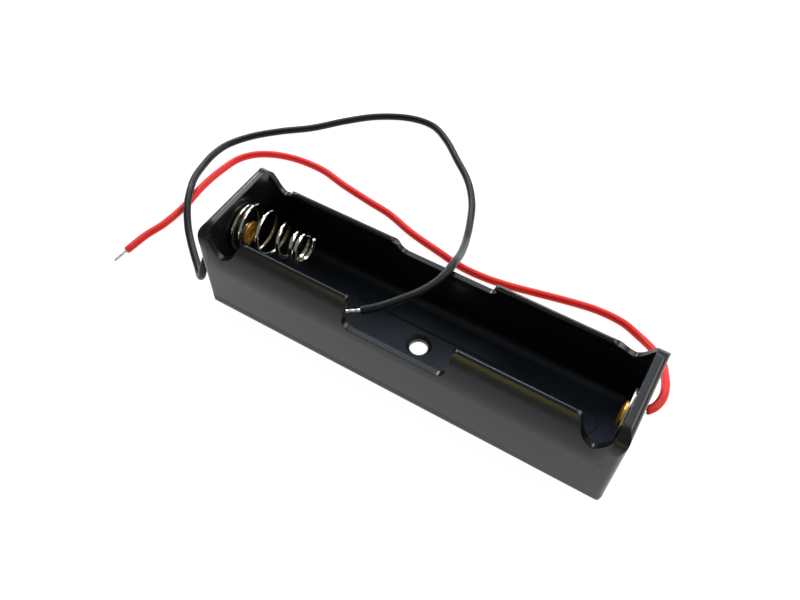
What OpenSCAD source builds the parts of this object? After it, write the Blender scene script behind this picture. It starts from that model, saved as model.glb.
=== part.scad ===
// Holder for one cylindrical cell, with two soldered wire leads.
// The cell lies along X. The spring is at the -X end and the contact plate at the +X end.
// The origin is on the base, in the middle of the tray's footprint, with Z up.

/* [Cell] */
// Diameter of the cell that the cradle is made for
cell_diameter = 18.2; // [16:0.1:21]
// Air between the cell and the cradle's wall, on the radius
cell_clearance = 0.1; // [0:0.05:0.4]

/* [Tray] */
// Length over both end walls
tray_length = 78; // [76:0.5:90]
// Thickness of the floor under the cell
floor_thickness = 1.5; // [1:0.1:3]
// Thickness of the side walls and of the lips
side_wall = 1.05; // [0.8:0.05:2]
// Thickness of the end walls
end_wall = 2; // [1.8:0.1:3]
// Height of the end walls above the base
end_wall_height = 19.2; // [18:0.1:24]
// Radius of the end walls' top corners
end_wall_corner = 3.8; // [1.2:0.1:5]
// Radius of the end walls' outer edges, over the top and down the corners
end_wall_rounding = 1.1; // [0.4:0.1:1.6]
// Angle above the cell's axis at which the curled lips end
lip_angle = 41; // [20:1:50]
// Radius inside, between the floor and the side walls
cradle_corner = 2; // [0.5:0.1:3]
// Rounding of the edges round the base
edge_radius = 0.4; // [0.3:0.1:0.9]

/* [Cut-outs] */
// Length of the finger cut-outs between the lips
finger_cut_length = 19.4; // [10:0.2:30]
// Height of the side walls in the finger cut-outs, above the base
finger_cut_rim = 12.5; // [11:0.1:14]
// Radius in the lower corners of the finger cut-outs
finger_cut_corner = 1.8; // [0.5:0.1:2.5]
// Radius of the round notches beside the end walls
notch_radius = 3.4; // [2.5:0.1:5]
// Height of the side walls in the bottom of the notches, above the base
notch_rim = 13.8; // [12:0.1:15]
// Distance from an end wall's inner face to the middle of its notches
notch_setback = 2; // [1:0.1:3]
// Rounding of the lips' corners beside the finger cut-outs
lip_corner = 0.8; // [0.2:0.1:1.2]
// Rounding of the lips' corners beside the notches
notch_lip_corner = 1.8; // [0.8:0.1:2.4]

/* [Fastening] */
// Diameter of the screw hole in the floor
screw_hole = 3.4; // [2:0.1:4]
// Diameter of the countersink at the floor's surface
countersink = 4.8; // [4.2:0.1:6]
// Depth of the countersink
countersink_depth = 0.6; // [0.2:0.1:0.8]

/* [Contacts] */
// Diameter of the rivets' shanks
rivet_shank = 2.5; // [1.6:0.1:3]
// Diameter of the rivets' heads, inside the tray
rivet_head = 4.7; // [4.2:0.1:6]
// Height of the rivets' domed heads
rivet_head_height = 0.8; // [0.4:0.1:1.2]
// Diameter of the rivets' flared tails
rivet_tail = 3.7; // [3:0.1:4]
// Air round a rivet's shank in the parts that it holds
rivet_clearance = 0.05; // [0.02:0.01:0.1]
// Diameter of the positive contact plate
plate_diameter = 9.4; // [6:0.2:14]
// Thickness of the positive contact plate
plate_thickness = 0.4; // [0.2:0.1:0.6]
// Thickness of the solder tags
tag_thickness = 0.35; // [0.2:0.05:0.5]
// Distance from a rivet's axis to the solder on its tag
tag_reach = 3.1; // [2.9:0.1:3.6]
// Slope of the tags' tails below the horizontal
tag_slope = 30; // [0:5:60]
// Depth of the pockets in the end walls' outer faces
pocket_depth = 1.1; // [0.8:0.1:1.2]
// Radius of the pockets' round ends
pocket_radius = 3.6; // [3:0.1:4.5]
// Distance between the centres of a pocket's two round ends
pocket_run = 3; // [2:0.1:4]

/* [Spring] */
// Diameter of the spring's wire
spring_wire = 0.75; // [0.5:0.05:0.9]
// Radius of the base coil, to the middle of the wire
spring_base_radius = 4.4; // [4.3:0.1:6]
// Radius of the narrowest coils, to the middle of the wire
spring_waist_radius = 2.2; // [2:0.1:3]
// Radius of the tip coil, to the middle of the wire
spring_tip_radius = 2.7; // [2:0.1:4]
// Length of the relaxed spring, from the end wall
spring_length = 13.9; // [12:0.1:17]
// Height of the base coil's middle above the rivet that holds its end
spring_rise = 1.8; // [0:0.1:1.9]
// Rise of the relaxed spring's tip above its base
spring_lean = 1.8; // [0:0.1:2.5]

/* [Leads] */
// Diameter of the leads' insulation
lead_diameter = 1.5; // [1.2:0.1:1.6]
// Diameter of the tinned ends
lead_core = 0.7; // [0.5:0.05:0.8]
// Distance from an end wall's outer face to the start of a lead's insulation
lead_standoff = 0.5; // [0.3:0.1:1]

/* [Hidden] */

$fn = 64;
cut = 1;                                        // how far a cutter runs past what it cuts
cradle_radius = cell_diameter / 2 + cell_clearance;
axis_height = floor_thickness + cradle_radius;
outer_radius = cradle_radius + side_wall;
tray_width = 2 * outer_radius;
inner_end = tray_length / 2 - end_wall;         // X of an end wall's inner face
pocket_floor = tray_length / 2 - pocket_depth;  // X of a pocket's floor
lip_middle = (cradle_radius + outer_radius) / 2;
lip_top = axis_height + lip_middle * sin(lip_angle) + side_wall / 2;
notch_middle = inner_end - notch_setback;       // X of a notch's centre
notch_centre = notch_rim + notch_radius;        // Z of a notch's centre
shank_bore = rivet_shank / 2 + rivet_clearance;
seam_gap = 0.02;                                // gap between clamped faces
loop_room = spring_wire + 4 * seam_gap;         // room for the spring under its rivet's head
loop_radius = shank_bore + spring_wire / 2;     // radius of the wire's loop round the shank
loop_turns = 1.5;                               // turns of the loop and of its way out
spring_turns = 5.5;                             // turns after the loop
spring_ring_steps = 20;                         // rings in a turn
first_coil = spring_wire / 2 + seam_gap;        // height of the coil that lies on the wall
last_coil = spring_length - spring_wire / 2;
spring_sides = 8;
lead_sides = 8;

// Routes of the leads, from the solder to the end of the insulation, and on to the tips. They
// start beside the end walls' pockets. The rest is laid out for a tray of this length, and
// follows it when it changes.
positive_start = [tray_length / 2 + lead_standoff, 3.5, 9.1];
negative_start = [-positive_start[0], -positive_start[1], positive_start[2]];
route_tray_length = 78;
function beside_tray(points) =
    [for (p = points) [p[0] * tray_length / route_tray_length, p[1], p[2]]];
black_route = concat([negative_start], beside_tray([
    [-40.7, -4.8, 8.9], [-41.4, -6.4, 7.6], [-41.7, -7.9, 5.4],
    [-42.2, -8.4, 3.2], [-43.5, -7.8, 1.5], [-45.6, -6.1, 0.9], [-48.4, -3.9, 0.8],
    [-51.4, -1.4, 0.9], [-54, 1.1, 1.4], [-56.8, 4.6, 2.3], [-59, 8.3, 2.6],
    [-61, 11.9, 1.9], [-62.5, 16.3, 1], [-63, 20.5, 0.8], [-62.2, 24.7, 0.8],
    [-59.3, 29.5, 0.8], [-54.9, 34.1, 0.8], [-49.6, 38.7, 0.8], [-44.4, 44.7, 0.8],
    [-39.2, 49.6, 0.8], [-32.9, 53, 0.8], [-27, 53.6, 0.8], [-22, 51, 0.8],
    [-17.1, 46.8, 0.8], [-12, 42.2, 0.8], [-8.3, 37, 0.8], [-5.8, 31.2, 1.2],
    [-3.8, 25.4, 3], [-2.2, 20.4, 6.2], [-0.9, 15.9, 9.6], [-0.1, 12.7, 12.2],
    [0.3, 10.3, 13.5], [0.2, 8.4, 13.5], [-0.5, 5.7, 13.2], [-1.9, 2.7, 13],
    [-4, -0.4, 12.9], [-6.2, -3.3, 12.8], [-8.5, -5.7, 12.8]
]));
black_tip_route = beside_tray([[-8.5, -5.7, 12.8], [-9.8, -6.7, 12.85], [-11, -7.7, 12.9]]);
red_route = concat([positive_start], beside_tray([
    [40.5, 5, 9.1], [41, 7.5, 8.7], [40.7, 10.6, 7.6],
    [40, 13.6, 6.1], [39.1, 16.8, 4.3], [37.6, 19.4, 2.7], [35.7, 21.4, 1.6],
    [33.1, 23.1, 0.9], [29.6, 24.4, 0.8], [24.9, 24.6, 0.8], [20.2, 23.9, 0.8],
    [14.3, 22.6, 0.8], [8.1, 21.2, 0.8], [3.1, 20.5, 0.8], [-2, 20.5, 0.8],
    [-7.9, 21.6, 0.8], [-14.9, 23.1, 0.8], [-21.1, 25.1, 0.8], [-26.7, 26, 0.8],
    [-33.6, 27.2, 0.8], [-40.5, 28.7, 0.8], [-47.9, 28.3, 0.8], [-53.9, 26, 0.8],
    [-57.3, 22.3, 0.8], [-58.5, 17.2, 0.8], [-58.8, 11.4, 0.8], [-58.3, 5.2, 0.8],
    [-58.6, -0.5, 0.8], [-59.7, -5.2, 0.8], [-60.2, -10, 0.8]
]));
red_tip_route = beside_tray([[-60.2, -10, 0.8], [-60.4, -11.6, 0.65], [-60.6, -13.1, 0.5]]);

// ---------- helpers ----------

// Extrudes a YZ outline along X, centred.
module along_x(length) {
    rotate([90, 0, 90]) linear_extrude(length, center = true) children();
}

// Extrudes an XZ outline along Y, centred.
module along_y(length) {
    rotate([90, 0, 0]) linear_extrude(length, center = true) children();
}

// Rectangle from (-w/2, bottom) to (w/2, top) with its lower and upper corners rounded.
module rounded_block(w, bottom, top, r_low, r_high) {
    half = w / 2;
    translate([-half + r_low, bottom]) square([w - 2 * r_low, top - bottom - r_high]);
    translate([-half, bottom + r_low]) square([w, top - bottom - r_low - r_high]);
    translate([-half + r_high, bottom + r_low]) square([w - 2 * r_high, top - bottom - r_low]);
    for (s = [-1, 1]) {
        translate([s * (half - r_low), bottom + r_low]) circle(r_low);
        translate([s * (half - r_high), top - r_high]) circle(r_high);
    }
}

function unit(v) = v / norm(v);

// Direction of a route at point i: the mean of the two stretches that meet there.
function heading(path, i) =
    let (last = len(path) - 1)
    unit(
        (i < last ? unit(path[i + 1] - path[i]) : [0, 0, 0])
        + (i > 0 ? unit(path[i] - path[i - 1]) : [0, 0, 0])
    );

// Direction at right angles to a heading that lies nearest to a given direction.
function square_to(along, direction) = unit(direction - (direction * along) * along);

// Sideways directions along a route, each carried on from the one before without a twist.
function sideways(path) =
    let (last = len(path) - 1, first = heading(path, 0))
    [for (
        i = 0, side = square_to(first, abs(first[2]) < 0.9 ? [0, 0, 1] : [0, 1, 0]);
        i <= last;
        i = i + 1, side = square_to(heading(path, min(i, last)), side)
    ) side];

// Ring of points round a route's point, square to the route there.
function ring(path, i, sideway, r, sides) =
    let (
        along = heading(path, i),
        side = square_to(along, sideway),
        up = cross(side, along)
    )
    [for (k = [0 : sides - 1])
        let (a = 360 * k / sides)
        path[i] + r * (cos(a) * side + sin(a) * up)];

// Closed tube swept along a route, as one polyhedron.
module swept_tube(path, r, sides) {
    count = len(path);
    sideway = sideways(path);
    points = [for (i = [0 : count - 1]) each ring(path, i, sideway[i], r, sides)];
    walls = [for (i = [0 : count - 2], k = [0 : sides - 1])
        let (n = (k + 1) % sides)
        each [
            [i * sides + k, (i + 1) * sides + k, (i + 1) * sides + n],
            [i * sides + k, (i + 1) * sides + n, i * sides + n]
        ]];
    first_cap = [for (k = [1 : sides - 2]) [0, k, k + 1]];
    end = (count - 1) * sides;
    last_cap = [for (k = [1 : sides - 2]) [end, end + k + 1, end + k]];
    polyhedron(points, concat(walls, first_cap, last_cap), convexity = 10);
}

// ---------- tray ----------

// Outer section of the trough, whose upper part follows the cell.
module trough_outside() {
    intersection() {
        rounded_block(tray_width, 0, axis_height + outer_radius, edge_radius, edge_radius);
        union() {
            translate([-outer_radius, 0]) square([tray_width, axis_height]);
            translate([0, axis_height]) circle(outer_radius);
        }
    }
}

// Inner section: a box with rounded lower corners, and the cell's circle above its axis.
module trough_inside() {
    rounded_block(2 * cradle_radius, floor_thickness, axis_height + cradle_corner,
        cradle_corner, cradle_corner);
    translate([0, axis_height]) circle(cradle_radius);
}

// Wedge over the cell, between the ends of the two lips.
module lip_opening() {
    reach = 2 * outer_radius;
    translate([0, axis_height])
        polygon([[0, 0], [reach * cos(lip_angle), reach * sin(lip_angle)], [reach, reach * 2],
            [-reach, reach * 2], [-reach * cos(lip_angle), reach * sin(lip_angle)]]);
}

module trough_section() {
    difference() {
        trough_outside();
        trough_inside();
        lip_opening();
    }
    for (s = [-1, 1])
        translate([s * lip_middle * cos(lip_angle), axis_height + lip_middle * sin(lip_angle)])
            circle(side_wall / 2);
}

// Side view of a finger cut-out, with rounded lower corners and eased lip corners.
module finger_cut() {
    half = finger_cut_length / 2;
    top = lip_top + cut;
    translate([0, finger_cut_rim + finger_cut_corner]) {
        translate([-half, 0]) square([2 * half, top - finger_cut_rim - finger_cut_corner]);
        for (s = [-1, 1]) translate([s * (half - finger_cut_corner), 0]) circle(finger_cut_corner);
    }
    translate([-half + finger_cut_corner, finger_cut_rim])
        square([2 * (half - finger_cut_corner), finger_cut_corner]);
    for (s = [-1, 1]) scale([s, 1]) translate([half, lip_top]) lip_easing();
}

// Corner that rounds a lip off, beside a cut that ends at the origin.
module lip_easing() {
    difference() {
        translate([-cut, -lip_corner]) square([lip_corner + cut, lip_corner + cut]);
        translate([lip_corner, -lip_corner]) circle(lip_corner);
        translate([lip_corner, -lip_corner]) square([cut, lip_corner]);
    }
}

// Side view of the +X notch, as far as the end wall. Its round bottom flows into the lip's
// round corner: the two arcs touch on the line between their centres.
module end_notch() {
    sky = axis_height + outer_radius;
    corner_centre = lip_top - notch_lip_corner;
    drop = notch_centre - corner_centre;
    reach = notch_radius + notch_lip_corner;
    corner_middle = notch_middle - sqrt(reach * reach - drop * drop);
    intersection() {
        union() {
            translate([notch_middle, notch_centre]) circle(notch_radius);
            difference() {
                translate([corner_middle, notch_centre - drop * notch_radius / reach])
                    square([inner_end - corner_middle, sky]);
                translate([corner_middle, corner_centre]) circle(notch_lip_corner);
            }
        }
        square([inner_end, 2 * sky]);
    }
}

module trough() {
    difference() {
        along_x(tray_length - end_wall) trough_section();
        along_y(tray_width + 2 * cut) finger_cut();
        for (s = [0, 1]) mirror([s, 0, 0]) along_y(tray_width + 2 * cut) end_notch();
    }
}

// The +X end wall: rounded at its top corners and along its outer edges, square on the inside.
module end_plate() {
    intersection() {
        along_x(tray_length)
            rounded_block(tray_width, 0, end_wall_height, edge_radius, end_wall_corner);
        along_y(tray_width)
            rounded_block(tray_length, 0, end_wall_height, edge_radius, end_wall_rounding);
        translate([inner_end, -tray_width / 2, 0]) cube([end_wall, tray_width, end_wall_height]);
    }
}

// Pocket in the +X end wall's outer face, which leads the wire out towards +Y.
module end_pocket() {
    translate([pocket_floor, 0, axis_height]) rotate([0, 90, 0]) {
        for (y = [0, pocket_run]) translate([0, y, 0]) cylinder(h = pocket_depth + cut, r = pocket_radius);
        translate([-pocket_radius, 0, 0]) cube([2 * pocket_radius, pocket_run, pocket_depth + cut]);
    }
}

// The two ends are alike, turned half round about Z.
module at_both_ends() {
    for (a = [0, 180]) rotate([0, 0, a]) children();
}

module holder_body() {
    color("#26272a") difference() {
        intersection() {
            union() {
                trough();
                at_both_ends() end_plate();
            }
            linear_extrude(2 * end_wall_height) plan_outline();
        }
        at_both_ends() {
            end_pocket();
            translate([inner_end - cut, 0, axis_height]) rotate([0, 90, 0])
                cylinder(h = end_wall + 2 * cut, r = shank_bore);
        }
        translate([0, 0, -cut]) cylinder(h = floor_thickness + 2 * cut, d = screw_hole);
        translate([0, 0, floor_thickness - countersink_depth])
            cylinder(h = countersink_depth, d1 = screw_hole, d2 = countersink);
        translate([0, 0, floor_thickness]) cylinder(h = cut, d = countersink);
    }
}

// Outline seen from above, with rounded corners.
module plan_outline() {
    translate([0, -tray_width / 2])
        rounded_block(tray_length, 0, tray_width, end_wall_rounding, end_wall_rounding);
}

// ---------- contacts ----------

// Rivet along +X, with its head's underside at the origin and its tail flared past grip.
module rivet(grip) {
    head = rivet_head / 2;
    tail = rivet_tail / 2;
    rim = 0.25;                                 // height of the head's straight rim
    flare = 0.35;                               // thickness of the flared tail
    dome = rivet_head_height - rim;
    dome_radius = (head * head + dome * dome) / (2 * dome);
    rotate([0, 90, 0]) {
        cylinder(h = grip + flare, d = rivet_shank);
        translate([0, 0, -rim]) cylinder(h = rim, r = head);
        intersection() {
            translate([0, 0, -rim - dome]) cylinder(h = dome, r = head);
            translate([0, 0, -rim - dome + dome_radius]) sphere(dome_radius, $fn = 96);
        }
        translate([0, 0, grip]) difference() {
            cylinder(h = flare, r1 = tail, r2 = tail - flare / 2);
            translate([0, 0, flare / 2]) cylinder(h = flare, r1 = flare, r2 = rivet_shank / 2);
        }
    }
}

// Solder tag on the pocket's floor: a washer with a tail that slopes down towards +Y.
module solder_tag() {
    tail_width = 2;
    translate([pocket_floor, 0, axis_height]) rotate([0, 90, 0]) difference() {
        union() {
            cylinder(h = tag_thickness, d = rivet_tail + 0.6);
            rotate([0, 0, -tag_slope]) {
                translate([-tail_width / 2, 0, 0]) cube([tail_width, tag_reach, tag_thickness]);
                translate([0, tag_reach, 0]) cylinder(h = tag_thickness, d = tail_width);
            }
        }
        translate([0, 0, -cut]) cylinder(h = tag_thickness + 2 * cut, r = shank_bore);
    }
}

module negative_rivet() {
    color("#c9a24a") rotate([0, 0, 180])
        translate([inner_end - loop_room, 0, axis_height])
            rivet(pocket_floor + tag_thickness + seam_gap - inner_end + loop_room);
}

module positive_rivet() {
    color("#c9a24a") translate([inner_end - plate_thickness, 0, axis_height])
        rivet(pocket_floor + tag_thickness + seam_gap - inner_end + plate_thickness);
}

module negative_solder_tag() {
    color("#c4c6c8") rotate([0, 0, 180]) solder_tag();
}

module positive_solder_tag() {
    color("#c4c6c8") solder_tag();
}

module positive_contact() {
    color("#cfd1d2") translate([inner_end - plate_thickness, 0, axis_height]) rotate([0, 90, 0])
        difference() {
            cylinder(h = plate_thickness, d = plate_diameter);
            translate([0, 0, -cut]) cylinder(h = plate_thickness + 2 * cut, r = shank_bore);
        }
}

// Solder dome on a tag's tail, with the stripped wire end that runs out of it to the lead.
module solder_joint() {
    dome_radius = 0.95;
    place = [
        pocket_floor + tag_thickness,
        tag_reach * cos(tag_slope),
        axis_height - tag_reach * sin(tag_slope)
    ];
    core_start = place + [dome_radius / 3, 0, 0];
    core = positive_start - core_start;
    translate(place) rotate([0, 90, 0]) intersection() {
        sphere(dome_radius);
        cylinder(h = dome_radius, r = dome_radius);
    }
    translate(core_start) rotate([0, acos(core[2] / norm(core)), atan2(core[1], core[0])])
        cylinder(h = norm(core) - seam_gap, d = lead_core);
}

module negative_solder_joint() {
    color("#b9bbbd") rotate([0, 0, 180]) solder_joint();
}

module positive_solder_joint() {
    color("#b9bbbd") solder_joint();
}

// ---------- spring ----------

// The wire loops round the shank under the rivet's head, winds out to the base coil, narrows
// to the waist and opens again at the tip. Turns count from the base coil's outer side.
function spring_radius(turn) = lookup(turn, [
    [-0.75, loop_radius], [-0.35, spring_base_radius], [1, spring_base_radius],
    [2, (spring_base_radius + spring_waist_radius) / 2], [3, spring_waist_radius],
    [4, spring_waist_radius], [spring_turns, spring_tip_radius]
]);

// Share of the way from the coil on the wall to the tip: closed coils at both ends, open ones
// between.
function spring_advance(turn) = lookup(turn, [
    [0.4, 0], [1, 0.15], [2, 0.39], [3, 0.67], [4, 0.9], [5, 0.97], [spring_turns, 1]
]);

// The loop is round the shank, on the cell's axis. The coils lie higher, and rise to the tip.
function spring_point(turn) =
    let (
        r = spring_radius(turn),
        a = 360 * turn + 180,
        advance = spring_advance(turn),
        rise = spring_rise * lookup(turn, [[-0.75, 0], [-0.35, 1]]) + spring_lean * advance
    )
    [
        first_coil + (last_coil - first_coil) * advance - inner_end,
        r * cos(a),
        axis_height + rise + r * sin(a)
    ];

module negative_spring() {
    steps = (spring_turns + loop_turns) * spring_ring_steps;
    path = [for (i = [0 : steps]) spring_point(-loop_turns + i / spring_ring_steps)];
    color("#d5d7d6") swept_tube(path, spring_wire / 2, spring_sides);
}

// ---------- leads ----------

module black_lead() {
    color("#2b2d2e") swept_tube(black_route, lead_diameter / 2, lead_sides);
}

module black_lead_tip() {
    color("#cdcfcc") swept_tube(black_tip_route, lead_core / 2, lead_sides);
}

module red_lead() {
    color("#d0302c") swept_tube(red_route, lead_diameter / 2, lead_sides);
}

module red_lead_tip() {
    color("#cdcfcc") swept_tube(red_tip_route, lead_core / 2, lead_sides);
}

holder_body();
negative_spring();
negative_rivet();
negative_solder_tag();
negative_solder_joint();
positive_contact();
positive_rivet();
positive_solder_tag();
positive_solder_joint();
black_lead();
black_lead_tip();
red_lead();
red_lead_tip();
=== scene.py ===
"""Looks of a holder for one cylindrical cell with two wire leads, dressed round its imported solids.

Sizes are in millimetres times mm, in the solids' own frame: the cell lies along X, the spring is
at the -X end, and Z is up from the base.
"""

import bmesh
import bpy
import numpy as np
from mathutils import Matrix


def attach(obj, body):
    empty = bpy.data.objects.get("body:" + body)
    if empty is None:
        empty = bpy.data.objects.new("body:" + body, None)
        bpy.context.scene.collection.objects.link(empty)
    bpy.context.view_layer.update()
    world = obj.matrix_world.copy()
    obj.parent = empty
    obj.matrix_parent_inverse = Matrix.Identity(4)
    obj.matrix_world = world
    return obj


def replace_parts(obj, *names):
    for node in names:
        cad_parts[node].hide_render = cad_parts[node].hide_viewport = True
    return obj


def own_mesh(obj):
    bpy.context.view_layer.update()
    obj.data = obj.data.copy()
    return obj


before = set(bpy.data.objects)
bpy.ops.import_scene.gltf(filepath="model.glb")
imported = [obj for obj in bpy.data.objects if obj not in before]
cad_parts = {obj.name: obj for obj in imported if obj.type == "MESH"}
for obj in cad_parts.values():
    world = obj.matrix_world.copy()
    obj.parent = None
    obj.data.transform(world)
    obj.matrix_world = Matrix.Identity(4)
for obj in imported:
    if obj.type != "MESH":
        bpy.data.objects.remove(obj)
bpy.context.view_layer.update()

mm = 0.001

# ---- The camera ------------------------------------------------------------------------------
# It looks down on the holder from in front, a little from the right, and leans slightly.
azimuth, elevation, roll = np.radians([28.92, 52.56, 1.916])
stand = np.array([34.578, -69.48, 119.504]) * mm
back = np.array([
    np.sin(azimuth) * np.cos(elevation), -np.cos(azimuth) * np.cos(elevation), np.sin(elevation),
])
level = np.cross(-back, [0, 0, 1])
level /= np.linalg.norm(level)
upright = np.cross(level, -back)
right = np.cos(roll) * level + np.sin(roll) * upright
top = np.cos(roll) * upright - np.sin(roll) * level

lens = bpy.data.cameras.new("camera")
lens.sensor_width = 36
lens.lens = 35.284
lens.shift_x = -0.0026
lens.shift_y = -0.0151
lens.clip_start = 1 * mm
camera = bpy.data.objects.new("camera", lens)
camera.matrix_world = Matrix(np.block([
    [np.stack([right, top, back], 1), stand[:, None]],
    [np.array([[0, 0, 0, 1]])],
]).tolist())
bpy.context.collection.objects.link(camera)
bpy.context.scene.camera = camera


# ---- The two leads' insulation ---------------------------------------------------------------
# Soft PVC, extruded round a stranded core 1.5 mm across: black on the spring and red on the
# plate. Each leaves its solder joint through the end wall's pocket and lies in loose bends.
lead_radius = 0.75 * mm
core_radius = 0.35 * mm
bore_share = 0.56
strip_depth = 0.25 * mm
black_route = np.array([
    [-39.5, -3.5, 9.1], [-40.7, -4.8, 8.9], [-41.4, -6.4, 7.6], [-41.7, -7.9, 5.4],
    [-42.2, -8.4, 3.2], [-43.5, -7.8, 1.5], [-45.6, -6.1, 0.9], [-48.4, -3.9, 0.8],
    [-51.4, -1.4, 0.9], [-54, 1.1, 1.4], [-56.8, 4.6, 2.3], [-59, 8.3, 2.6],
    [-61, 11.9, 1.9], [-62.5, 16.3, 1], [-63, 20.5, 0.8], [-62.2, 24.7, 0.8],
    [-59.3, 29.5, 0.8], [-54.9, 34.1, 0.8], [-49.6, 38.7, 0.8], [-44.4, 44.7, 0.8],
    [-39.2, 49.6, 0.8], [-32.9, 53, 0.8], [-27, 53.6, 0.8], [-22, 51, 0.8],
    [-17.1, 46.8, 0.8], [-12, 42.2, 0.8], [-8.3, 37, 0.8], [-5.8, 31.2, 1.2],
    [-3.8, 25.4, 3], [-2.2, 20.4, 6.2], [-0.9, 15.9, 9.6], [-0.1, 12.7, 12.2],
    [0.3, 10.3, 13.5], [0.2, 8.4, 13.5], [-0.5, 5.7, 13.2], [-1.9, 2.7, 13],
    [-4, -0.4, 12.9], [-6.2, -3.3, 12.8], [-8.5, -5.7, 12.8],
]) * mm
red_route = np.array([
    [39.5, 3.5, 9.1], [40.5, 5, 9.1], [41, 7.5, 8.7], [40.7, 10.6, 7.6],
    [40, 13.6, 6.1], [39.1, 16.8, 4.3], [37.6, 19.4, 2.7], [35.7, 21.4, 1.6],
    [33.1, 23.1, 0.9], [29.6, 24.4, 0.8], [24.9, 24.6, 0.8], [20.2, 23.9, 0.8],
    [14.3, 22.6, 0.8], [8.1, 21.2, 0.8], [3.1, 20.5, 0.8], [-2, 20.5, 0.8],
    [-7.9, 21.6, 0.8], [-14.9, 23.1, 0.8], [-21.1, 25.1, 0.8], [-26.7, 26, 0.8],
    [-33.6, 27.2, 0.8], [-40.5, 28.7, 0.8], [-47.9, 28.3, 0.8], [-53.9, 26, 0.8],
    [-57.3, 22.3, 0.8], [-58.5, 17.2, 0.8], [-58.8, 11.4, 0.8], [-58.3, 5.2, 0.8],
    [-58.6, -0.5, 0.8], [-59.7, -5.2, 0.8], [-60.2, -10, 0.8],
]) * mm


def smooth_curve(points, steps):
    """Points on a Catmull-Rom curve: between two points it is the cubic that leaves each of them
    along half the chord between that point's neighbours."""
    ends = np.concatenate([
        [2 * points[0] - points[1]], points, [2 * points[-1] - points[-2]],
    ])
    before, start, end, after = ends[:-3, None], ends[1:-2, None], ends[2:-1, None], ends[3:, None]
    t = np.linspace(0, 1, steps, endpoint=False)[None, :, None]
    leave, arrive = (end - before) / 2, (after - start) / 2
    curve = ((2 * t**3 - 3 * t**2 + 1) * start + (t**3 - 2 * t**2 + t) * leave
             + (3 * t**2 - 2 * t**3) * end + (t**3 - t**2) * arrive)
    return np.concatenate([curve.reshape(-1, 3), points[-1:]])


def run_along(path):
    """Distance of each point from the path's start, along the path."""
    return np.concatenate([[0], np.cumsum(np.linalg.norm(np.diff(path, axis=0), axis=1))])


def domed(left, reach):
    """Share of the full radius at a distance left from an end that is domed over reach: the root
    of 1 - (1 - x)^2 with x = left / reach, and 1 past it."""
    x = np.clip(left / reach, 0, 1)
    return np.sqrt(np.clip(1 - (1 - x) ** 2, 0, 1))[:, None]


def swept(path, radius, sides, reference=(0, 0, 1)):
    """Grid of points round a path: point (i, k) stands off path point i by radius (i, k), at the
    angle 2 pi k / sides, in the plane square to the path there."""
    along = np.gradient(path, axis=0)
    along /= np.linalg.norm(along, axis=1, keepdims=True)
    side = np.cross(along, reference)
    side /= np.linalg.norm(side, axis=1, keepdims=True)
    up = np.cross(side, along)
    angle = 2 * np.pi * np.arange(sides) / sides
    ring = np.cos(angle)[:, None] * side[:, None] + np.sin(angle)[:, None] * up[:, None]
    radius = np.broadcast_to(radius, (len(path), sides))
    return path[:, None] + radius[:, :, None] * ring


def stripped(grid, path):
    """The grid with the faces that the stripping knife leaves: each end ring drawn in to the bore
    round the core, and that ring once more, set back into the bore by the strip depth."""
    rows = []
    for end, inside in ((0, 1), (-1, -2)):
        bore = path[end] + (grid[end] - path[end]) * bore_share
        inward = path[inside] - path[end]
        rows.append([bore + inward / np.linalg.norm(inward) * strip_depth, bore])
    return np.concatenate([rows[0], grid, rows[1][::-1]])


def make_piece(name, grids, material, body="holder", crease=40):
    """Makes one object of closed grids. A grid's rows close on themselves. Its first and last
    rows close to their own middle points, or to each other where they are the same row. The UV
    runs in millimetres, along the first column and around the widest row."""
    corners, quads, flat = [], [], []
    count = 0
    for grid in grids:
        if not np.allclose(grid[0], grid[-1], atol=1e-4 * mm):
            ends = np.broadcast_to(grid[[0, -1]].mean(1, keepdims=True), (2, *grid.shape[1:]))
            grid = np.concatenate([ends[:1], grid, ends[1:]])
        rows, columns = grid.shape[:2]
        row, column = np.meshgrid(np.arange(rows - 1), np.arange(columns), indexing="ij")
        beside = (column + 1) % columns
        corners.append(grid.reshape(-1, 3))
        quads.append(count + np.stack([
            row * columns + column, row * columns + beside,
            (row + 1) * columns + beside, (row + 1) * columns + column,
        ], -1).reshape(-1, 4))
        far = run_along(grid[:, 0]) / mm
        girth = np.linalg.norm(np.diff(grid, axis=1), axis=2).sum(1).max() / mm
        turn = girth * np.stack([column, column + 1, column + 1, column], -1) / columns
        flat.append(np.stack([
            np.stack([far[row], far[row], far[row + 1], far[row + 1]], -1), turn,
        ], -1).reshape(-1, 2))
        count += rows * columns
    mesh = bpy.data.meshes.new(name)
    mesh.from_pydata(np.concatenate(corners).tolist(), [], np.concatenate(quads).tolist())
    mesh.uv_layers.new(name="surface").data.foreach_set("uv", np.concatenate(flat).ravel())
    shape = bmesh.new()
    shape.from_mesh(mesh)
    bmesh.ops.remove_doubles(shape, verts=shape.verts, dist=1e-4 * mm)
    bmesh.ops.dissolve_degenerate(shape, edges=shape.edges, dist=1e-5 * mm)
    bmesh.ops.recalc_face_normals(shape, faces=shape.faces)
    shape.to_mesh(mesh)
    shape.free()
    mesh.shade_smooth()
    mesh.set_sharp_from_angle(angle=np.radians(crease))
    mesh.materials.append(material)
    piece = bpy.data.objects.new(name, mesh)
    bpy.context.collection.objects.link(piece)
    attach(piece, body)
    return piece


def linear(shade):
    """Colour of an sRGB hex value, as the shader wants it: c/12.92 below 0.04045, and otherwise
    ((c + 0.055)/1.055) to the power 2.4."""
    value = np.array([int(shade[i:i + 2], 16) for i in (1, 3, 5)]) / 255
    value = np.where(value <= 0.04045, value / 12.92, ((value + 0.055) / 1.055) ** 2.4)
    return (*value.tolist(), 1)


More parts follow.
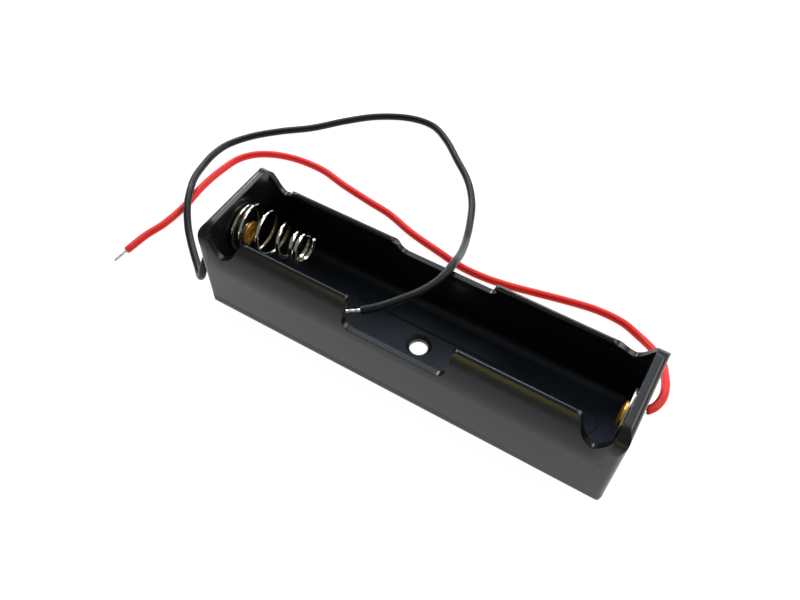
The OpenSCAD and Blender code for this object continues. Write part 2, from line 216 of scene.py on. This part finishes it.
def add_node(tree, kind, sockets, **settings):
    """Adds one node, sets its properties, and gives each named socket a value or a link."""
    made = tree.nodes.new("ShaderNode" + kind)
    for name, value in settings.items():
        setattr(made, name, value)
    for name, value in sockets.items():
        if isinstance(value, bpy.types.NodeSocket):
            tree.links.new(value, made.inputs[name])
        else:
            made.inputs[name].default_value = value
    return made


def start_material(name, **sockets):
    """Makes a material of one shader with those plain values, and returns it with its tree."""
    material = bpy.data.materials.new(name)
    material.use_nodes = True
    tree = material.node_tree
    tree.nodes.clear()
    shader = add_node(tree, "BsdfPrincipled", {
        key.replace("_", " "): value for key, value in sockets.items()
    })
    add_node(tree, "OutputMaterial", {"Surface": shader.outputs["BSDF"]})
    return material, tree, shader


def per_mm(size):
    """Scale of a pattern whose features are that many millimetres across."""
    return 1 / (size * mm)


def soft_pvc(name, dark, light):
    """Extruded soft PVC. The eye sees a narrow soft highlight along the wire, a faint ripple from
    the die about every millimetre, and slightly paler patches a few millimetres long."""
    material, tree, shader = start_material(name, Roughness=0.4, IOR=1.5, Specular_IOR_Level=0.25)
    place = add_node(tree, "TexCoord", {}).outputs["Object"]
    patch = add_node(tree, "TexNoise", {"Vector": place, "Scale": per_mm(6)})
    colour = add_node(tree, "Mix", {
        0: patch.outputs[0], 6: linear(dark), 7: linear(light),
    }, data_type="RGBA")
    ripple = add_node(tree, "TexNoise", {"Vector": place, "Scale": per_mm(1.2)})
    bump = add_node(tree, "Bump", {
        "Strength": 0.3, "Distance": 0.05 * mm, "Height": ripple.outputs[0],
    })
    tree.links.new(colour.outputs[2], shader.inputs["Base Color"])
    tree.links.new(bump.outputs["Normal"], shader.inputs["Normal"])
    return material


leads = {}
for colour_name, route, slot_name, material in (
    ("black", black_route, "black_pvc", soft_pvc("black soft PVC", "#0c0d0d", "#131515")),
    ("red", red_route, "red_pvc", soft_pvc("red soft PVC", "#d81c16", "#e42a22")),
):
    path = smooth_curve(route, 10)
    far = run_along(path)
    edge = 0.9 + 0.1 * domed(np.minimum(far, far[-1] - far), 0.1 * mm)
    piece = make_piece(colour_name + "_insulation",
                       [stripped(swept(path, lead_radius * edge, 20), path)], material)
    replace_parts(piece, colour_name + "_lead")
    leads[colour_name] = piece, path


# ---- The leads' bare ends --------------------------------------------------------------------
# Six copper strands twisted round a seventh, stripped for 3 to 4 mm and dipped in tin, which
# nearly fills the grooves between them. Each end sits in the insulation's bore, and the red
# lead's is twisted tighter.
lay_length = 6 * mm
tin_fill = 2.7                                  # reach of the tin in the grooves, in strand radii
tight_radius = 0.27 * mm
# Hot-dipped tin: the eye sees a soft white gleam, mottled where the tin wetted less.
tinned, tree, shader = start_material("tinned copper strand", Metallic=1.0, Roughness=0.3)
place = add_node(tree, "TexCoord", {}).outputs["Object"]
wetting = add_node(tree, "TexNoise", {"Vector": place, "Scale": per_mm(0.6), "Detail": 3.0})
colour = add_node(tree, "Mix", {
    0: wetting.outputs[0], 6: linear("#b4b6a8"), 7: linear("#e0e2d6"),
}, data_type="RGBA")
tree.links.new(colour.outputs[2], shader.inputs["Base Color"])
bump = add_node(tree, "Bump", {
    "Strength": 0.3, "Distance": 0.03 * mm, "Height": wetting.outputs[0],
})
tree.links.new(bump.outputs["Normal"], shader.inputs["Normal"])


def strand_bundle(path, radius, sides=48):
    """Radius round a bundle of six strands on a seventh: a strand of radius s whose middle is 2s
    out reaches 2s cos(a) + sqrt(s^2 - 4 s^2 sin(a)^2) at the angle a off it, and tin fills the
    grooves. The lobes turn once in a lay length."""
    strand = radius / 3
    twist = 2 * np.pi * run_along(path)[:, None] / lay_length
    off = (2 * np.pi * np.arange(sides) / sides + twist) % (np.pi / 3) - np.pi / 6
    lobes = strand * (2 * np.cos(off) + np.sqrt(np.clip(1 - 4 * np.sin(off) ** 2, 0, 1)))
    return np.maximum(lobes, tin_fill * strand)


for colour_name, route, radius in (
    ("black", [[-8.5, -5.7, 12.8], [-10.1, -6.9, 12.85], [-11.6, -8.1, 12.95]], core_radius),
    ("red", [[-60.2, -10, 0.8], [-60.4, -11.6, 0.65], [-60.6, -13.1, 0.5]], tight_radius),
):
    route = np.array(route) * mm
    start = route[0] + (route[0] - route[1]) / np.linalg.norm(route[0] - route[1]) * strip_depth
    path = smooth_curve(np.concatenate([[start], route]), 16)
    left = run_along(path)[-1] - run_along(path)
    lobes = strand_bundle(path, radius) * np.maximum(domed(left, radius), 0.14)
    tip = make_piece(colour_name + "_bare_end", [swept(path, lobes, 48)], tinned)
    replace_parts(tip, colour_name + "_lead_tip")
    piece, path = leads[colour_name]


# ---- The tray --------------------------------------------------------------------------------
# Black ABS, moulded in one shot: floor, lips, end walls and pockets. The mould is polished for
# the walls and spark-eroded for the floor.
# The eye sees clear soft reflections in the walls, and a paler satin on the floor. The floor's
# colour also holds painted light: a cool blue tint, and a paler tone towards the plate's end. Each
# eased edge has a pale line of light. The grain, really some 0.05 mm across, is drawn at 0.3 mm, so
# that it shows.
abs_black, tree, shader = start_material("black ABS", IOR=1.54, Specular_IOR_Level=0.28)
place = add_node(tree, "TexCoord", {}).outputs["Object"]
cloud = add_node(tree, "TexNoise", {"Vector": place, "Scale": per_mm(8), "Detail": 3.0})
colour = add_node(tree, "Mix", {
    0: cloud.outputs[0], 6: linear("#0e0f11"), 7: linear("#17181a"),
}, data_type="RGBA")
rough = add_node(tree, "MapRange", {
    "Value": cloud.outputs[0], "To Min": 0.2, "To Max": 0.3,
})
split = add_node(tree, "SeparateXYZ", {"Vector": place})
above_base = add_node(tree, "MapRange", {
    "Value": split.outputs["Z"], "From Min": 0.8 * mm, "From Max": 1.1 * mm,
})
eroded = add_node(tree, "MapRange", {
    "Value": split.outputs["Z"], "From Min": 2.6 * mm, "From Max": 1.7 * mm,
    "To Max": above_base.outputs["Result"],
})
# Painted light: the floor's colour grows paler from 8 to 32 mm along X, towards the plate's end.
painted_light_towards_plate = add_node(tree, "MapRange", {
    "Value": split.outputs["X"], "From Min": 8 * mm, "From Max": 32 * mm,
})
# Both floor colours carry a painted cool blue tint of light.
floor_satin_and_painted_light = add_node(tree, "Mix", {
    0: painted_light_towards_plate.outputs["Result"], 6: linear("#1d232a"), 7: linear("#343c47"),
}, data_type="RGBA")
satin_colour = add_node(tree, "Mix", {
    0: eroded.outputs["Result"], 6: colour.outputs[2], 7: floor_satin_and_painted_light.outputs[2],
}, data_type="RGBA")
satin = add_node(tree, "Mix", {
    "Factor": eroded.outputs["Result"], "A": rough.outputs["Result"], "B": 0.5,
})
grain = add_node(tree, "TexNoise", {"Vector": place, "Scale": per_mm(0.3), "Detail": 3.0})
eased_edge = add_node(tree, "Bevel", {"Radius": 0.2 * mm}, samples=8)
bump = add_node(tree, "Bump", {
    "Strength": 0.2, "Distance": 0.02 * mm, "Height": grain.outputs[0],
    "Normal": eased_edge.outputs["Normal"],
})
tree.links.new(satin_colour.outputs[2], shader.inputs["Base Color"])
tree.links.new(satin.outputs["Result"], shader.inputs["Roughness"])
tree.links.new(bump.outputs["Normal"], shader.inputs["Normal"])
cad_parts["holder_body"].material_slots[0].material = abs_black

# ---- The corner webs -------------------------------------------------------------------------
# Part of the tray's moulding: in each corner the side wall swells into the end wall, with a
# round inner corner, and its rim runs up from the notch to the end wall's shoulder.
inner_end = 37 * mm                             # end wall's inner face, from the tray's middle
axis_height = 10.7 * mm                         # cell's axis, above the base
web_start = 37.3 * mm
web_run = 3.1 * mm
web_foot = 1.6 * mm
web_sink = 0.02 * mm                            # depth of its outside under the tray's own
web_overlap = 0.05 * mm
rim_fade = 3.2 * mm                             # depth under the rim where the corner is full
notch_rim = 13.74 * mm
shoulder = 17.9 * mm
inner_corner = 2.4 * mm
side_wall = 1.05 * mm
side_outside = 10.25 * mm
corner_radius = 3.8 * mm
corner_start = 15.4 * mm


def corner_web(x_side, y_side):
    """Grid of one web. At the share t of its run it is bounded above by the rim, which falls as
    (1 - t)^1.9, and outside by a line from the end wall's outline to the side wall's circle. It
    is bounded inside by that line less the wall and less R (1 - sqrt(1 - (1 - t)^2)), where R
    grows as d^2 (3 - 2d) with the depth d under the rim, so that the rim itself stays thin."""
    t = np.concatenate([[0], np.linspace(0, 1, 24)])[:, None]
    x = np.concatenate([[web_start], inner_end - web_run * t[1:, 0]])[:, None]
    rim = notch_rim + (shoulder - notch_rim) * (1 - t) ** 1.9
    z = web_foot + (rim - web_foot) * np.linspace(0, 1, 30)
    end_side = side_outside - corner_radius + np.sqrt(
        corner_radius**2 - np.clip(z - corner_start, 0, None) ** 2)
    round_side = np.sqrt(side_outside**2 - np.clip(z - axis_height, 0, None) ** 2)
    outside = (1 - t) * end_side + t * round_side - web_sink
    deep = np.clip((rim - z) / rim_fade, 0, 1)
    corner = inner_corner * deep**2 * (3 - 2 * deep)
    inside = outside - side_wall + web_overlap - corner * (1 - np.sqrt(1 - (1 - t) ** 2))
    y = np.concatenate([outside, inside[:, ::-1]], 1)
    z = np.concatenate([z, z[:, ::-1]], 1)
    return np.stack(np.broadcast_arrays(x_side * x, y_side * y, z), -1)


make_piece("corner_webs", [corner_web(i, j) for i in (-1, 1) for j in (-1, 1)], abs_black)

# ---- The marks on the tray's floor -----------------------------------------------------------
# Low lines left proud by grooves cut in the mould: a ringed plus at the plate's end, a ringed
# minus at the spring's end, and a plain frame in the middle.
floor_height = 1.5 * mm
frame_line = 0.2 * mm, 0.24 * mm                # half the width, and the height above the floor
fine_line = 0.13 * mm, 0.12 * mm


def raised_line(start, end, line):
    """Grid of a straight ridge with round ends: an ellipse swept from start to end, of radius
    a b / sqrt((b cos t)^2 + (a sin t)^2) at the angle t, half of it below the floor."""
    share = ((1 - np.cos(np.pi * np.linspace(0, 1, 24))) / 2)[:, None]
    ends = np.array([[*start, 0], [*end, 0]]) * mm + (0, 0, floor_height)
    path = ends[0] * (1 - share) + ends[1] * share
    far = run_along(path)
    t = 2 * np.pi * np.arange(12) / 12
    oval = line[0] * line[1] / np.hypot(line[1] * np.cos(t), line[0] * np.sin(t))
    return swept(path, domed(np.minimum(far, far[-1] - far), line[0]) * oval, 12)


def turned(along, out, centre, axis=0, sides=96):
    """Grid of a profile turned about a line along X (axis 0) or Z (axis 2) through the centre: a
    profile point goes along the axis, and out times the cosine and sine of the angle across it.
    Out may have a column of its own for each angle."""
    along, out = (np.reshape(values, (len(values), -1)) for values in (along, out))
    angle = 2 * np.pi * np.arange(sides) / sides
    grid = np.empty((len(along), sides, 3))
    grid[..., axis] = along
    grid[..., (axis + 1) % 3] = out * np.cos(angle)
    grid[..., (axis + 2) % 3] = out * np.sin(angle)
    return grid + centre


def raised_ring(x, y, radius, line):
    """Grid of a round ridge: the same ellipse turned about a vertical line."""
    t = np.linspace(0, 2 * np.pi, 13)
    return turned(line[1] * np.sin(t), radius * mm + line[0] * np.cos(t),
                  (x * mm, y * mm, floor_height), axis=2)


for name, ridges in (
    ("positive_mark", [
        raised_ring(30.9, 1.1, 2.7, fine_line), raised_line((29.3, 1.1), (32.5, 1.1), fine_line),
        raised_line((30.9, -0.5), (30.9, 2.7), fine_line),
    ]),
    ("negative_mark", [
        raised_ring(-29.5, 3, 2.7, fine_line), raised_line((-31.1, 3), (-27.9, 3), fine_line),
    ]),
    ("middle_frame", [
        raised_line((-15, 3.4), (24, 3.4), frame_line),
        raised_line((-15, 3.4), (-15, -3.4), frame_line),
        raised_line((-15, -3.4), (24, -3.4), frame_line),
        raised_line((24, 3.4), (24, -3.4), frame_line),
    ]),
):
    make_piece(name, ridges, abs_black)

# ---- The spring ------------------------------------------------------------------------------
# Nickel-plated music wire 0.75 mm across, wound as a cone: an inner loop under the rivet's head,
# two close base coils, open coils that narrow, and two close coils at the tip.
wire_radius = 0.375 * mm
first_coil = 0.395 * mm                         # height of the loop's wire over the end wall
spring_length = 13.9 * mm
base_rise = 1.4 * mm                            # of the base coils over the rivet's loop
tip_rise = 1.5 * mm                             # of the tip over the base coils
# Drawn and then plated: the eye sees sharp dark and white bands along the wire. The die's lines,
# really some 0.01 mm apart, are drawn 12 to the millimetre and about 2 mm long, so that they show.
nickel_wire, tree, shader = start_material("nickel-plated wire", Metallic=1.0, Roughness=0.12)
along = add_node(tree, "UVMap", {}, uv_map="surface").outputs["UV"]
stretched = add_node(tree, "Mapping", {"Vector": along, "Scale": (0.45, 12, 1)})
draw_lines = add_node(tree, "TexNoise", {"Vector": stretched.outputs["Vector"], "Scale": 1.0})
colour = add_node(tree, "Mix", {
    0: draw_lines.outputs[0], 6: linear("#b4b0a2"), 7: linear("#f0ece0"),
}, data_type="RGBA")
bump = add_node(tree, "Bump", {
    "Strength": 0.15, "Distance": 0.02 * mm, "Height": draw_lines.outputs[0],
})
tree.links.new(colour.outputs[2], shader.inputs["Base Color"])
tree.links.new(bump.outputs["Normal"], shader.inputs["Normal"])

turn = np.linspace(-1.5, 5.5, 7 * 56)
half_window = 8


def eased(knots, values):
    """Straight lines between the knots, smoothed by a running mean of about a quarter turn."""
    line = np.pad(np.interp(turn, knots, values), half_window, mode="edge")
    return np.convolve(line, np.full(2 * half_window + 1, 1 / (2 * half_window + 1)), "valid")


coil = eased([-0.75, -0.35, 1.3, 2, 3, 4, 5.5], [1.675, 4.4, 4.5, 3.7, 2.7, 2.5, 2.7]) * mm
advance = eased([0.4, 1, 2, 3, 4, 5, 5.5], [0, 0.15, 0.4, 0.7, 0.89, 0.96, 1])
rise = base_rise * eased([-0.75, -0.35], [0, 1]) + tip_rise * advance
angle = 2 * np.pi * turn + np.pi
wire = np.stack([
    first_coil - inner_end + (spring_length - wire_radius - first_coil) * advance,
    coil * np.cos(angle), axis_height + rise + coil * np.sin(angle),
], 1)
far = run_along(wire)
round_off = np.maximum(domed(np.minimum(far, far[-1] - far), 0.12 * mm), 0.7)
coils = swept(wire, wire_radius * round_off, 16, reference=(1, 0, 0))
spring = make_piece("spring_wire", [coils], nickel_wire, body="spring")
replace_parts(spring, "negative_spring")
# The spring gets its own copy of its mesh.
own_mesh(spring)

# ---- The rivets ------------------------------------------------------------------------------
# Brass, one at each end: a domed head inside with the punch's dimple and ring, a shank through
# the end wall, and a tail rolled over the solder tag outside.
plate_face = 36.6 * mm                          # where the head sits on the contact plate
loop_face = 36.17 * mm                          # where it sits on the spring's loop
tag_face = 38.27 * mm
head_radius = 2.25 * mm
head_rim = 0.25 * mm
head_dome = 0.55 * mm
dimple_depth = 0.35 * mm
dimple_radius = 0.75 * mm
ring_depth = 0.06 * mm
ring_radius = 1.65 * mm
ring_width = 0.12 * mm
shank_radius = 1.25 * mm
tail_radius = 1.85 * mm
tail_roll = 0.35 * mm
# The eyelet in the tail, from its mouth to its bottom: along X, and out from the axis.
eyelet = np.array([[38.5, 1.3], [38.25, 1], [37.9, 0.9], [37.8, 0.85], [37.8, 0]]) * mm
# Struck brass: the eye sees a satin gold that turns brown and mottled towards the rim.
brass, tree, shader = start_material("brass", Metallic=1.0, Roughness=0.42)
place = add_node(tree, "TexCoord", {}).outputs["Object"]
across = add_node(tree, "Mapping", {"Vector": place, "Location": (0, 0, -axis_height),
                                    "Scale": (0, 1, 1)}, vector_type="POINT")
out = add_node(tree, "VectorMath", {0: across.outputs["Vector"]}, operation="LENGTH")
# Coloured browner towards the head's rim, from 1.4 to 2.3 mm off the axis.
browner_towards_rim = add_node(tree, "MapRange", {
    "Value": out.outputs["Value"], "From Min": 1.4 * mm, "From Max": 2.3 * mm,
    "To Min": 0.15, "To Max": 0.75,
})
tarnish = add_node(tree, "TexNoise", {"Vector": place, "Scale": per_mm(0.9), "Detail": 4.0})
mottle = add_node(tree, "Math", {0: browner_towards_rim.outputs["Result"], 1: tarnish.outputs[0]},
                  operation="MULTIPLY")
colour = add_node(tree, "Mix", {
    0: mottle.outputs["Value"], 6: linear("#ffc65e"), 7: linear("#9a6820"),
}, data_type="RGBA")
tree.links.new(colour.outputs[2], shader.inputs["Base Color"])
bump = add_node(tree, "Bump", {
    "Strength": 0.6, "Distance": 0.06 * mm, "Height": tarnish.outputs[0],
})
tree.links.new(bump.outputs["Normal"], shader.inputs["Normal"])


def rivet(underside):
    """Grid of the +X rivet: its head's height at a radius r is rim + dome sqrt(1 - (r/R)^2), less
    a dimple of depth exp(-(r/radius)^4) and a ring of depth exp(-((r - radius)/width)^2). Its
    tail is rolled on a half circle."""
    r = head_radius * np.sin(np.linspace(0, np.pi / 2, 48))
    height = (head_rim + head_dome * np.sqrt(1 - (r / head_radius) ** 2)
              - dimple_depth * np.exp(-(r / dimple_radius) ** 4)
              - ring_depth * np.exp(-((r - ring_radius) / ring_width) ** 2))
    roll = np.radians(np.linspace(-90, 90, 9))
    along = np.concatenate([
        underside - height, [underside, underside, tag_face],
        tag_face + tail_roll / 2 * (1 + np.sin(roll)), eyelet[:, 0],
    ])
    out = np.concatenate([
        r, [head_radius, shank_radius, shank_radius],
        tail_radius - tail_roll / 2 * (1 - np.cos(roll)), eyelet[:, 1],
    ])
    return turned(along, out, (0, 0, axis_height))


other_end = np.array([-1, -1, 1])               # turns a grid half round about Z
for name, grid in (
    ("positive_rivet", rivet(plate_face)), ("negative_rivet", rivet(loop_face) * other_end),
):
    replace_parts(make_piece(name + "_turned", [grid], brass), name)

# ---- The contact plate -----------------------------------------------------------------------
# A washer punched from nickel-plated steel sheet, clamped under the positive rivet's head. Its
# edges are rolled over a little by the punch.
plate_radius = 4.7 * mm
plate_thickness = 0.4 * mm
plate_edge = 0.1 * mm
bore_radius = 1.3 * mm
# Bright plating: the eye sees a mirror made hazy by upright scratches. They are really hair-fine,
# and are drawn 0.15 mm wide and 1.5 mm long, so that they show.
nickel_sheet, tree, shader = start_material("nickel-plated sheet", Metallic=1.0, Roughness=0.28)
place = add_node(tree, "TexCoord", {}).outputs["Object"]
stretched = add_node(tree, "Mapping", {"Vector": place, "Scale": (1, 1, 0.1)})
scratches = add_node(tree, "TexNoise", {
    "Vector": stretched.outputs["Vector"], "Scale": per_mm(0.15), "Detail": 2.0,
})
colour = add_node(tree, "Mix", {
    0: scratches.outputs[0], 6: linear("#c6c4bc"), 7: linear("#e6e5df"),
}, data_type="RGBA")
tree.links.new(colour.outputs[2], shader.inputs["Base Color"])
bump = add_node(tree, "Bump", {
    "Strength": 0.1, "Distance": 0.01 * mm, "Height": scratches.outputs[0],
})
tree.links.new(bump.outputs["Normal"], shader.inputs["Normal"])


def sheet_section(thickness, edge, inner, outer):
    """Outline (along, out) of a sheet's section, from the inner to the outer edge: a rectangle
    whose corners are quarter circles, each its own centre plus edge (cos t, sin t)."""
    t = np.radians(np.linspace(0, 90, 5) + 90 * np.arange(4)[:, None])
    side = np.sign([np.cos(t[:, 2:3]), np.sin(t[:, 2:3])])
    along = (thickness / 2 + side[0] * (thickness / 2 - edge) + edge * np.cos(t)).ravel()
    shift = (side[1] * np.ones(5)).ravel()
    rise = (edge * np.sin(t)).ravel()
    middle, half = (np.atleast_1d(outer) + inner) / 2, (np.atleast_1d(outer) - inner) / 2
    out = middle + shift[:, None] * (half - edge) + rise[:, None]
    return np.append(along, along[0]), np.concatenate([out, out[:1]])


along, out = sheet_section(plate_thickness, plate_edge, bore_radius, plate_radius)
plate = turned(along, out, (inner_end - plate_thickness, 0, axis_height))
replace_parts(make_piece("contact_plate", [plate], nickel_sheet), "positive_contact")

# ---- The solder tags -------------------------------------------------------------------------
# Tin-plated steel stampings, one in each end wall's pocket, held by the rivet's tail. A washer
# with a tail that slopes down to the side where the lead leaves.
pocket_floor = 37.9 * mm
tag_thickness = 0.35 * mm
tag_edge = 0.06 * mm
washer_radius = 2.15 * mm
tail_half_width = 1 * mm
tag_reach = 3.1 * mm
tag_slope = np.radians(30)
# Hot-dipped tin, rolled: the eye sees a soft grey gleam with faint spangles 0.7 mm across.
tinned_sheet, tree, shader = start_material("tinned steel sheet", Metallic=1.0, Roughness=0.34)
place = add_node(tree, "TexCoord", {}).outputs["Object"]
spangle = add_node(tree, "TexNoise", {"Vector": place, "Scale": per_mm(0.7), "Detail": 3.0})
colour = add_node(tree, "Mix", {
    0: spangle.outputs[0], 6: linear("#9fa3a4"), 7: linear("#cfd2d2"),
}, data_type="RGBA")
tree.links.new(colour.outputs[2], shader.inputs["Base Color"])
bump = add_node(tree, "Bump", {
    "Strength": 0.25, "Distance": 0.02 * mm, "Height": spangle.outputs[0],
})
tree.links.new(bump.outputs["Normal"], shader.inputs["Normal"])

# Outline of the tag round the rivet: the washer, or where it reaches further the tail. At the
# angle a off the tail it ends at L cos(a) + sqrt(w^2 - L^2 sin(a)^2), or at its side, w / sin(a).
off = 2 * np.pi * np.arange(192) / 192 + tag_slope
sine, cosine = np.abs(np.sin(off)), np.cos(off)
round_end = np.sqrt(np.clip(tail_half_width**2 - (tag_reach * sine) ** 2, 0, None))
tail_end = tag_reach * cosine + round_end
tail_side = tail_half_width / np.maximum(sine, 1e-6)
tail_out = np.where(tail_side * cosine > tag_reach, tail_end, tail_side) * (cosine > 0)
reach = np.maximum(washer_radius, tail_out)
along, out = sheet_section(tag_thickness, tag_edge, bore_radius, reach)
tag = turned(along, out, (pocket_floor, 0, axis_height), sides=192)
for name, grid in (("positive_solder_tag", tag), ("negative_solder_tag", tag * other_end)):
    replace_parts(make_piece(name + "_stamped", [grid], tinned_sheet), name)

# ---- The solder joints -----------------------------------------------------------------------
# Tin solder, melted over each tag's tail and the lead's stripped strands. The blob wets the tag
# in a thin skirt and runs up the wire, and it has set bright with slightly frosted patches.
blob_radius = 1 * mm
blob_height = 0.93 * mm
solder, tree, shader = start_material("tin solder", Metallic=1.0)
place = add_node(tree, "TexCoord", {}).outputs["Object"]
frost = add_node(tree, "TexNoise", {"Vector": place, "Scale": per_mm(0.5), "Detail": 4.0})
colour = add_node(tree, "Mix", {
    0: frost.outputs[0], 6: linear("#aeb1b3"), 7: linear("#dadbdb"),
}, data_type="RGBA")
rough = add_node(tree, "MapRange", {"Value": frost.outputs[0], "To Min": 0.12, "To Max": 0.42})
bump = add_node(tree, "Bump", {
    "Strength": 0.3, "Distance": 0.05 * mm, "Height": frost.outputs[0],
})
tree.links.new(colour.outputs[2], shader.inputs["Base Color"])
tree.links.new(rough.outputs["Result"], shader.inputs["Roughness"])
tree.links.new(bump.outputs["Normal"], shader.inputs["Normal"])

seat = np.array([pocket_floor + tag_thickness, tag_reach * np.cos(tag_slope),
                 axis_height - tag_reach * np.sin(tag_slope)])
# The blob's radius at the share h of its height is 0.9 sqrt(1 - h^2) + 0.1 exp(-h / 0.05), and
# it bulges by a twentieth on three sides.
share = np.concatenate([np.linspace(0, 0.2, 9), np.sin(np.linspace(0.22, np.pi / 2, 24))])
bulge = 1 + 0.05 * np.cos(3 * 2 * np.pi * np.arange(96) / 96 + 0.8) * share[:, None]
skirt = 0.1 * np.exp(-share / 0.05) * (share < 0.99)
blob_out = blob_radius * (0.9 * np.sqrt(1 - share**2) + skirt)
blob = turned(seat[0] + blob_height * share, blob_out[:, None] * bulge, (0, *seat[1:]))
# The strands stand on the tag, bend over and run into the insulation's bore. The solder climbs
# them by 0.3 exp(-d / 0.45), with the distance d along them in mm.
leave = red_route[1] - red_route[0]
core_path = smooth_curve(np.stack([
    seat + np.array([0.3, 0, 0]) * mm, seat + np.array([0.85, 0.35, 0.02]) * mm,
    red_route[0], red_route[0] + leave / np.linalg.norm(leave) * strip_depth,
]), 14)
climb = 0.3 * mm * np.exp(-run_along(core_path) / (0.45 * mm))[:, None]
stub = swept(core_path, strand_bundle(core_path, core_radius) + climb, 48)
for name, side in (("positive_solder_joint", 1), ("negative_solder_joint", other_end)):
    joint = make_piece(name + "_set", [blob * side, stub * side], solder)
    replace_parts(joint, name)

# ---- The floor and the light -----------------------------------------------------------------
# A sheet of white paper lit so brightly that it shows no shade, in a plain pale room. A wide cool
# panel and a small lamp stand behind, a bright lamp behind to the left, a broad one behind to the
# right, and a low yellow card in front.
ground = bpy.data.meshes.new("floor")
ground.from_pydata([(-3, -3, 0), (3, -3, 0), (3, 3, 0), (-3, 3, 0)], [], [(0, 1, 2, 3)])
floor = bpy.data.objects.new("floor", ground)
bpy.context.collection.objects.link(floor)
paper, tree, shader = start_material("white paper", Roughness=0.95, Emission_Strength=0.95)
shader.inputs["Base Color"].default_value = linear("#808080")
shader.inputs["Emission Color"].default_value = linear("#ffffff")
ground.materials.append(paper)

world = bpy.data.worlds.new("studio")
world.use_nodes = True
world.node_tree.nodes["Background"].inputs["Color"].default_value = linear("#eef0f2")
world.node_tree.nodes["Background"].inputs["Strength"].default_value = 0.29
bpy.context.scene.world = world
bpy.context.scene.view_settings.view_transform = "Standard"

for name, direction, distance, width, depth, radiance, shade in (
    ("panel", (-0.25, 0.6, 0.75), 1, 1.1, 1.1, 2.1, "#d0deee"),
    ("lamp", (-0.62, 0.5, 0.5), 0.7, 0.14, 0.14, 27, "#ffffff"),
    ("back lamp", (-0.1, 0.85, 0.45), 0.8, 0.2, 0.2, 9, "#ffffff"),
    ("right lamp", (0.66, 0.4, 0.63), 0.8, 0.5, 0.5, 4, "#fffaf2"),
    ("front card", (-0.15, -0.93, 0.35), 1, 0.6, 0.11, 3.6, "#f0e478"),
):
    light = bpy.data.lights.new(name, "AREA")
    light.shape = "ELLIPSE"
    light.size = width
    light.size_y = depth
    light.energy = np.pi * width * depth * radiance     # radiance times four times the area
    light.color = linear(shade)[:3]
    lamp = bpy.data.objects.new(name, light)
    ray = np.array(direction) / np.linalg.norm(direction)
    side = np.cross([0, 0, 1], ray) / np.linalg.norm(np.cross([0, 0, 1], ray))
    lamp.matrix_world = Matrix(np.block([
        [np.stack([side, np.cross(ray, side), ray], 1), (distance * ray)[:, None]],
        [np.array([[0, 0, 0, 1]])],
    ]).tolist())
    bpy.context.collection.objects.link(lamp)
